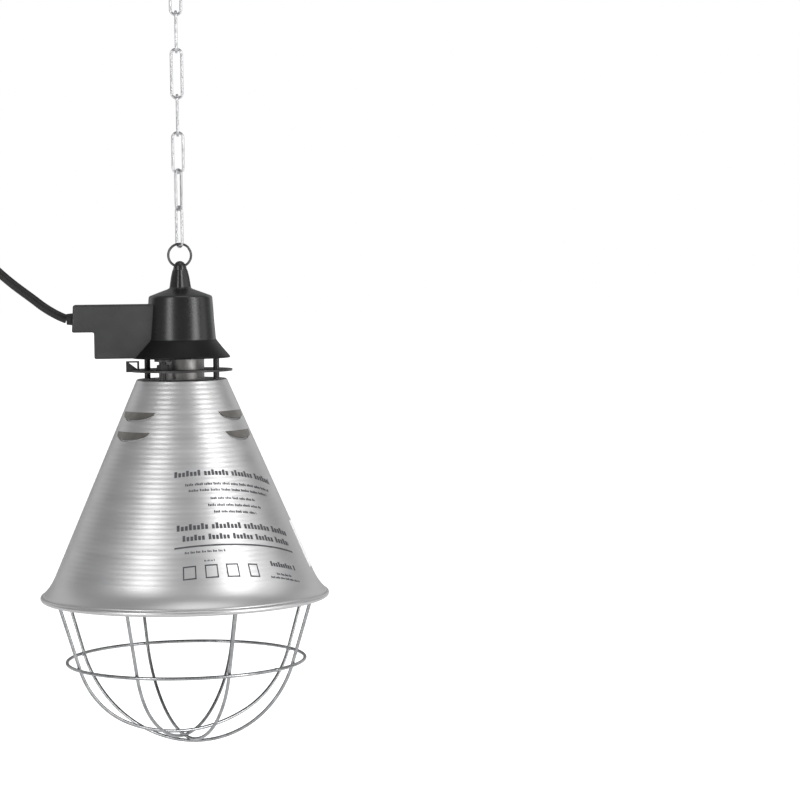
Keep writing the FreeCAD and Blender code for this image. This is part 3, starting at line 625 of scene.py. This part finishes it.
def vent_flap(azimuth, half, level, verts, faces, columns=28, rows=8):
    first = len(verts)
    for side in (0, 1):
        for column in range(columns + 1):
            across = -1 + 2 * column / columns
            for row in range(rows + 1):
                down = row / rows
                height = level - down * max(vent_edge(across), 0.02)
                lift = VENT_LIFT * (1 - across * across) * down**1.4
                proud = FLAP_PROUD + lift - side * VENT_WALL * (0.35 + 0.65 * (1 - across * across))
                verts.append(on_cone(azimuth + across * half, height, proud))
    sheet = (columns + 1) * (rows + 1)

    def at(side, column, row):
        return first + side * sheet + column * (rows + 1) + row

    for column in range(columns):
        for row in range(rows):
            for side in (0, 1):
                quad = [
                    at(side, column, row), at(side, column + 1, row),
                    at(side, column + 1, row + 1), at(side, column, row + 1),
                ]
                faces.append((quad if side else quad[::-1], 0))
        # The lower lip's faces take the second material, painted shade under the lip.
        for row in (0, rows):
            faces.append(
                (
                    [
                        at(0, column, row), at(0, column + 1, row),
                        at(1, column + 1, row), at(1, column, row),
                    ],
                    1 if row else 0,
                )
            )
    for column in (0, columns):
        for row in range(rows):
            faces.append(
                (
                    [
                        at(0, column, row), at(0, column, row + 1),
                        at(1, column, row + 1), at(1, column, row),
                    ],
                    0,
                )
            )


def vent_cutter(azimuth, half, level, verts, faces, columns=24):
    """The crescent that stays open below a flap's lip, as a solid that goes through the wall."""
    first = len(verts)
    ring = []
    for column in range(columns + 1):
        across = -OPEN_WIDTH + 2 * OPEN_WIDTH * column / columns
        ring.append((across, vent_edge(across) + OPEN_BELOW * (1 - across * across)))
    for column in range(columns, -1, -1):
        across = -OPEN_WIDTH + 2 * OPEN_WIDTH * column / columns
        ring.append((across, vent_edge(across) * OPEN_ABOVE))
    for proud in OPEN_DEPTHS:
        for across, drop in ring:
            verts.append(on_cone(azimuth + across * half, level - drop, proud))
    count = len(ring)
    for step in range(count):
        after = (step + 1) % count
        faces.append((first + step, first + after, first + count + after, first + count + step))
    for column in range(columns):
        mirror = count - 1 - column
        quad = (column, column + 1, mirror - 1, mirror)
        faces.append(tuple(first + corner for corner in quad))
        faces.append(tuple(first + count + corner for corner in quad[::-1]))


def subtract(obj, tool):
    apply_modifier(obj, "BOOLEAN", object=tool, operation="DIFFERENCE", solver="EXACT")
    bpy.data.objects.remove(tool)
    return obj


def make_shade():
    shade = lathe("shade_spun", shade_outline(), LATHE_STEPS)
    verts = []
    faces = []
    for vent in VENTS:
        vent_cutter(*vent, verts, faces)
    subtract(shade, mesh_object("vent_cutter", verts, faces))
    shade.data.materials.clear()
    shade.data.materials.append(MATERIALS["spun_aluminium"])
    shade.data.materials.append(MATERIALS["collar_painted_light"])
    # Faces that point up, the flat collar, take the lighter grey of painted light.
    for face in shade.data.polygons:
        if face.normal.z > 0.95:
            face.material_index = 1
    sharpen(shade, 38)
    finish_piece(shade, "shade_spun", "spun_aluminium", "lamp", ["shade"])
    verts = []
    faces = []
    for vent in VENTS:
        vent_flap(*vent, verts, faces)
    # The flaps take the darker grey of painted shade, and their lower lips the near-black painted
    # shade of the gap under each lip.
    flaps = mesh_object("shade_vents", verts, [corners for corners, _ in faces])
    flaps.data.materials.append(MATERIALS["vent_metal_painted_shade"])
    flaps.data.materials.append(MATERIALS["louvre_lip_painted_shade"])
    for polygon, (_, index) in zip(flaps.data.polygons, faces):
        polygon.material_index = index
    sharpen(flaps, 50)
    finish_piece(flaps, "shade_vents", "spun_aluminium", "lamp")


make_shade()

# ------------------------------------------------------------------ print on the shade

PRINT_MIDDLE = 15.0  # the azimuth of the sheet's upright through the print
INK_PROUD = (0.03, 0.11)
# A block's sizes and its gaps, as shares of its row's height.
BLOCK_WIDTH = 0.42
BLOCK_BELOW = 0.34
BLOCK_ABOVE = (0.5, 0.28)  # every third block is the taller one
BLOCK_GAP = 0.17
GROUP_GAP = 0.6


def print_height(azimuth, height):
    """A line that is straight on the flat sheet droops to both sides on the cone."""
    slant = cone_radius(height) / math.sin(CONE_TILT)
    swing = math.radians(azimuth - PRINT_MIDDLE) * math.sin(CONE_TILT)
    return height - math.cos(CONE_TILT) * slant * (1 / math.cos(swing) - 1)


def ink_patch(start, end, low, high, verts, faces):
    """A patch of ink between two azimuths and two heights, as a thin closed slab."""
    columns = max(1, round((end - start) / 3))
    first = len(verts)
    for column in range(columns + 1):
        azimuth = start + (end - start) * column / columns
        for height in (low, high):
            for proud in INK_PROUD:
                verts.append(on_cone(azimuth, print_height(azimuth, height), proud))
    for column in range(columns):
        here = first + column * 4
        there = here + 4
        for a, b in ((0, 1), (1, 3), (3, 2), (2, 0)):
            faces.append((here + a, here + b, there + b, there + a))
    last = first + columns * 4
    faces.append((first, first + 2, first + 3, first + 1))
    faces.append((last, last + 1, last + 3, last + 2))


def ink_row(start, end, height, tall, words, verts, faces):
    """A row of plain blocks in a few groups, where the real lamp has lettering."""
    degree = math.radians(1) * cone_radius(height)
    place = start
    count = 0
    while place < end:
        finish = min(place + BLOCK_WIDTH * tall / degree, end)
        top = BLOCK_ABOVE[0] if count % 3 == 0 else BLOCK_ABOVE[1]
        ink_patch(place, finish, height - BLOCK_BELOW * tall, height + top * tall, verts, faces)
        count += 1
        place = finish + (GROUP_GAP if count % words == 0 else BLOCK_GAP) * tall / degree


def ink_frame(start, end, low, high, verts, faces):
    """A plain square outline."""
    rim = 0.9
    side = math.degrees(rim / cone_radius((low + high) / 2))
    ink_patch(start, end, low, low + rim, verts, faces)
    ink_patch(start, end, high - rim, high, verts, faces)
    ink_patch(start, start + side, low + rim, high - rim, verts, faces)
    ink_patch(end - side, end, low + rim, high - rim, verts, faces)


def make_print():
    verts = []
    faces = []
    for start, end, height, tall, words in (
        (-6, 70, 92.6, 4.6, 7),
        (1, 64, 85.1, 2.0, 5),
        (3, 59, 81.0, 2.0, 6),
        (16, 46, 75.2, 2.0, 4),
        (14, 49, 70.6, 2.0, 5),
        (17, 44, 66.1, 2.0, 4),
        (-4, 64, 56.4, 4.8, 8),
        (-1, 62, 49.2, 4.6, 6),
        (0, 20, 39.8, 1.8, 3),
        (9, 14, 33.6, 1.4, 2),
        (43, 59, 31.6, 4.0, 9),
        (45, 54, 25.2, 1.8, 3),
        (41, 59, 22.6, 1.6, 4),
    ):
        ink_row(start, end, height, tall, words, verts, faces)
    ink_patch(-5, 63, 43.2, 44.3, verts, faces)
    for start, end in ((-1, 5), (9, 15), (19, 25), (30, 35)):
        ink_frame(start, end, 22.0, 31.0, verts, faces)
    ink = mesh_object("shade_print", verts, faces, smooth=False)
    finish_piece(ink, "shade_print", "print_ink", "lamp")


make_print()


LABEL = (78, 112, 19.5, 53.0)  # two azimuths and two heights
LABEL_THICK = 0.25


def make_label():
    """A plain white label at the right, seen from the front only by its edge."""
    start, end, low, high = LABEL
    verts = []
    faces = []
    columns = 12
    for column in range(columns + 1):
        azimuth = start + (end - start) * column / columns
        for height in (low, high):
            for proud in (0.0, LABEL_THICK):
                verts.append(on_cone(azimuth, height, proud))
    for column in range(columns):
        here = column * 4
        for a, b in ((0, 1), (1, 3), (3, 2), (2, 0)):
            faces.append((here + a, here + b, here + 4 + b, here + 4 + a))
    last = columns * 4
    faces += [(0, 2, 3, 1), (last, last + 1, last + 3, last + 2)]
    label = mesh_object("shade_label", verts, faces, smooth=False)
    finish_piece(label, "shade_label", "label_paper", "lamp")


make_label()

# ------------------------------------------------------------------ hood and junction box

HOOD_OUTSIDE = [
    (33.2, 172.0), (35.0, 172.0), (35.4, 172.3), (35.45, 172.8), (35.1, 173.4),
    (30.2, 179.2), (26.4, 184.0), (25.5, 185.3), (25.2, 186.8), (24.3, 198.0),
    (23.15, 214.8), (22.95, 216.2), (22.5, 216.9), (21.6, 217.4), (15.0, 219.9),
    (9.2, 222.0), (8.2, 222.6), (7.4, 223.4),
]
HOOD_PEAK = (0.0, 223.4)  # on the axis, like the foot
HOOD_FOOT = (0.0, 172.0)
HOOD_STEPS = 128
HOOD_INSIDE = [(0.0, 219.7), (5.7, 219.7), (20.8, 214.8), (23.1, 185.6), (30.6, 175.4)]
SKIRT_TOP = 185.4
EYE_LEVEL = 237.0
EYE_HALF = (4.8, 5.35, 5.35)  # half the eye's width, depth and height
STEM_TURN = 38  # degrees that the square stem is turned about Z
RING_CENTRE = -0.32415  # metres
RING_RADIUS = 0.0082
BORE_RADIUS = 0.00165  # of the curved bore that the ring runs through


def stem_ring(half, height, corner=0.62, steps=40):
    """A rounded square at a height, turned about Z."""
    ring = []
    for step in range(steps):
        angle = TAU * step / steps
        x = math.copysign(abs(math.cos(angle)) ** corner, math.cos(angle)) * half
        y = math.copysign(abs(math.sin(angle)) ** corner, math.sin(angle)) * half
        swing = math.radians(STEM_TURN)
        ring.append(
            (
                (x * math.cos(swing) - y * math.sin(swing)) * MM,
                (x * math.sin(swing) + y * math.cos(swing)) * MM,
                RIM + height * MM,
            )
        )
    return ring


def make_stem():
    """The stem and its eye in one moulding, with the eye's curved bore."""
    verts = []
    faces = []
    levels = (
        (7.3, 220.5), (6.9, 223.2), (6.4, 227.0), (5.9, 230.5), (5.0, 235.0), (4.0, 237.6),
        (3.0, 239.2),
    )
    for half, height in levels:
        verts += stem_ring(half, height)
    steps = len(verts) // len(levels)
    for level in range(len(levels) - 1):
        for step in range(steps):
            after = (step + 1) % steps
            a = level * steps
            b = a + steps
            faces.append((a + step, a + after, b + after, b + step))
    faces.append(tuple(range(steps))[::-1])
    faces.append(tuple(range(len(verts) - steps, len(verts))))
    stem = mesh_object("hood_stem", verts, faces)
    shape = bmesh.new()
    shape.from_mesh(stem.data)
    bmesh.ops.create_uvsphere(
        shape,
        u_segments=64,
        v_segments=48,
        radius=1.0,
        matrix=Matrix.Translation((0, 0, RIM + EYE_LEVEL * MM))
        @ Matrix.Diagonal((*(half * MM for half in EYE_HALF), 1)),
    )
    shape.to_mesh(stem.data)
    shape.free()
    apply_modifier(stem, "REMESH", mode="VOXEL", voxel_size=0.0003)
    apply_modifier(stem, "SMOOTH", factor=0.5, iterations=5)
    bpy.ops.mesh.primitive_torus_add(
        major_segments=96,
        minor_segments=24,
        major_radius=RING_RADIUS,
        minor_radius=BORE_RADIUS,
        location=(0, 0, RING_CENTRE),
        rotation=(math.pi / 2, 0, 0),
    )
    subtract(stem, bpy.context.object)
    stem.data.materials.clear()
    sharpen(stem, 40)
    return finish_piece(stem, "hood_stem", "black_moulding", "lamp")


def make_hood():
    hood = weld(lathe("hood_bell", HOOD_OUTSIDE + [HOOD_PEAK] + HOOD_INSIDE, HOOD_STEPS))
    hood.data.materials.append(MATERIALS["black_moulding"])
    hood.data.materials.append(MATERIALS["skirt_moulding"])
    for face in hood.data.polygons:
        if face.center.z < RIM + SKIRT_TOP * MM:
            face.material_index = 1
    sharpen(hood, 38)
    finish_piece(hood, "hood_bell", "black_moulding", "lamp", ["hood"])


BOX_SIDE = [
    (-77.1, 211.4), (-78.2, 191.6), (-62.4, 191.6), (-62.4, 172.4), (0.0, 172.4), (0.0, 211.4),
]


def box_prism(name, inset, front, back):
    """The box's side outline, inset on every side, between two depths in mm."""
    shift = [(1, -1), (1, 1), (1, 1), (1, 1), (0, 1), (0, -1)]
    corners = [
        ((x + dx * inset) * MM, RIM + (z + dz * inset) * MM)
        for (x, z), (dx, dz) in zip(BOX_SIDE, shift)
    ]
    verts = [(x, depth * MM, z) for depth in (front, back) for x, z in corners]
    count = len(corners)
    faces = [tuple(range(count)), tuple(range(2 * count - 1, count - 1, -1))]
    for step in range(count):
        after = (step + 1) % count
        faces.append((step, count + step, count + after, after))
    return mesh_object(name, verts, faces, smooth=False)


def soften(obj, width, segments=3):
    apply_modifier(
        obj, "BEVEL", width=width * MM, segments=segments, limit_method="ANGLE", harden_normals=False
    )
    return obj


def hood_solid():
    """The hood's outside as a closed solid, to trim the box against."""
    return weld(lathe("hood_solid", HOOD_OUTSIDE[1:] + [HOOD_PEAK, HOOD_FOOT], HOOD_STEPS))


BOX_HALF = 13.0
BOX_WALL = 1.6
TRAY_BACK = 10.75
COVER_FRONT = 11.0
BOX_END = -0.0782  # metres, like the two below
CORD_LEVEL = -0.36945
CORD_HOLE = 0.0044


def make_box():
    """The tray that shows from the front, and the cover behind it."""
    tray = soften(box_prism("box_tray", 0, -BOX_HALF, TRAY_BACK), 1.3, 4)
    subtract(tray, box_prism("box_room", BOX_WALL, BOX_WALL - BOX_HALF, 12))
    subtract(tray, hood_solid())
    bpy.ops.mesh.primitive_cylinder_add(
        vertices=48, radius=CORD_HOLE, depth=0.012, location=(BOX_END, 0, CORD_LEVEL),
        rotation=(0, math.pi / 2, 0),
    )
    subtract(tray, bpy.context.object)
    cover = soften(box_prism("box_lid", 0, COVER_FRONT, BOX_HALF), 0.7, 3)
    subtract(cover, hood_solid())
    for piece, replaced in ((tray, "junction_box"), (cover, "box_cover")):
        piece.data.materials.clear()
        piece.data.materials.append(MATERIALS["box_moulding"])
        piece.data.materials.append(MATERIALS["box_face_grain_and_painted_light"])
        # The flat front and back faces take the grained material with its painted-light grey.
        for face in piece.data.polygons:
            if abs(face.normal.y) > 0.995:
                face.material_index = 1
        sharpen(piece, 32)
        finish_piece(piece, piece.name, "box_moulding", "lamp", [replaced])


make_hood()
make_stem()
make_box()

# ------------------------------------------------------------------ split ring, guard welds

RING_TURNS = 2
RING_WIRE = 0.00074
RING_OUTSET = 1 / 0.99  # control points stand outside the ring by this much
RING_SPREAD = (0.00024, 0.0005)  # how far each turn stands off the ring's own circle, and sideways


def make_ring():
    """A split ring: two turns of wire side by side."""
    points = []
    count = 64
    for step in range(count + 1):
        angle = TAU * RING_TURNS * step / count + 0.9
        side = math.tanh(3.2 * (step / count - 0.5)) / math.tanh(1.6)
        reach = (RING_RADIUS + side * RING_SPREAD[0]) * RING_OUTSET
        points.append(
            (
                reach * math.sin(angle),
                side * RING_SPREAD[1],
                RING_CENTRE + reach * math.cos(angle),
            )
        )
    ring = spline_curve("split_ring_wire", points, RING_WIRE, 5)
    finish_piece(ring, "split_ring_wire", "ring_steel", "ring", ["split_ring"])


HOOP_RADIUS = 86.6
HOOP_LEVEL = -48.5
WELD_INSET = 1.22  # the arches cross the hoop on its inner side
ARCHES = (154.0, 110.5, 65.75, 25.5)  # azimuths from +X, in degrees
SEAM_AZIMUTH = -43.0  # the hoop's butt weld, at the front right


def make_welds():
    """Small puddles of metal where the hoop meets the arches, and the hoop's own seam."""
    shape = bmesh.new()
    for arch in ARCHES:
        for azimuth in (arch, arch + 180):
            turn = math.radians(azimuth)
            at = Vector(
                (
                    (HOOP_RADIUS - WELD_INSET) * MM * math.cos(turn),
                    (HOOP_RADIUS - WELD_INSET) * MM * math.sin(turn),
                    RIM + HOOP_LEVEL * MM,
                )
            )
            matrix = (
                Matrix.Translation(at)
                @ Matrix.Rotation(turn, 4, "Z")
                @ Matrix.Diagonal((1.15 * MM, 1.75 * MM, 1.6 * MM, 1))
            )
            bmesh.ops.create_icosphere(shape, subdivisions=3, radius=1.0, matrix=matrix)
    turn = math.radians(SEAM_AZIMUTH)
    at = Vector(
        (HOOP_RADIUS * MM * math.cos(turn), HOOP_RADIUS * MM * math.sin(turn), RIM + HOOP_LEVEL * MM)
    )
    matrix = (
        Matrix.Translation(at)
        @ Matrix.Rotation(turn, 4, "Z")
        @ Matrix.Diagonal((1.5 * MM, 1.9 * MM, 1.5 * MM, 1))
    )
    bmesh.ops.create_icosphere(shape, subdivisions=3, radius=1.0, matrix=matrix)
    data = bpy.data.meshes.new("guard_welds")
    shape.to_mesh(data)
    shape.free()
    data.shade_smooth()
    welds = bpy.data.objects.new("guard_welds", data)
    bpy.context.collection.objects.link(welds)
    finish_piece(welds, "guard_welds", "guard_steel", "guard")


make_ring()
make_welds()
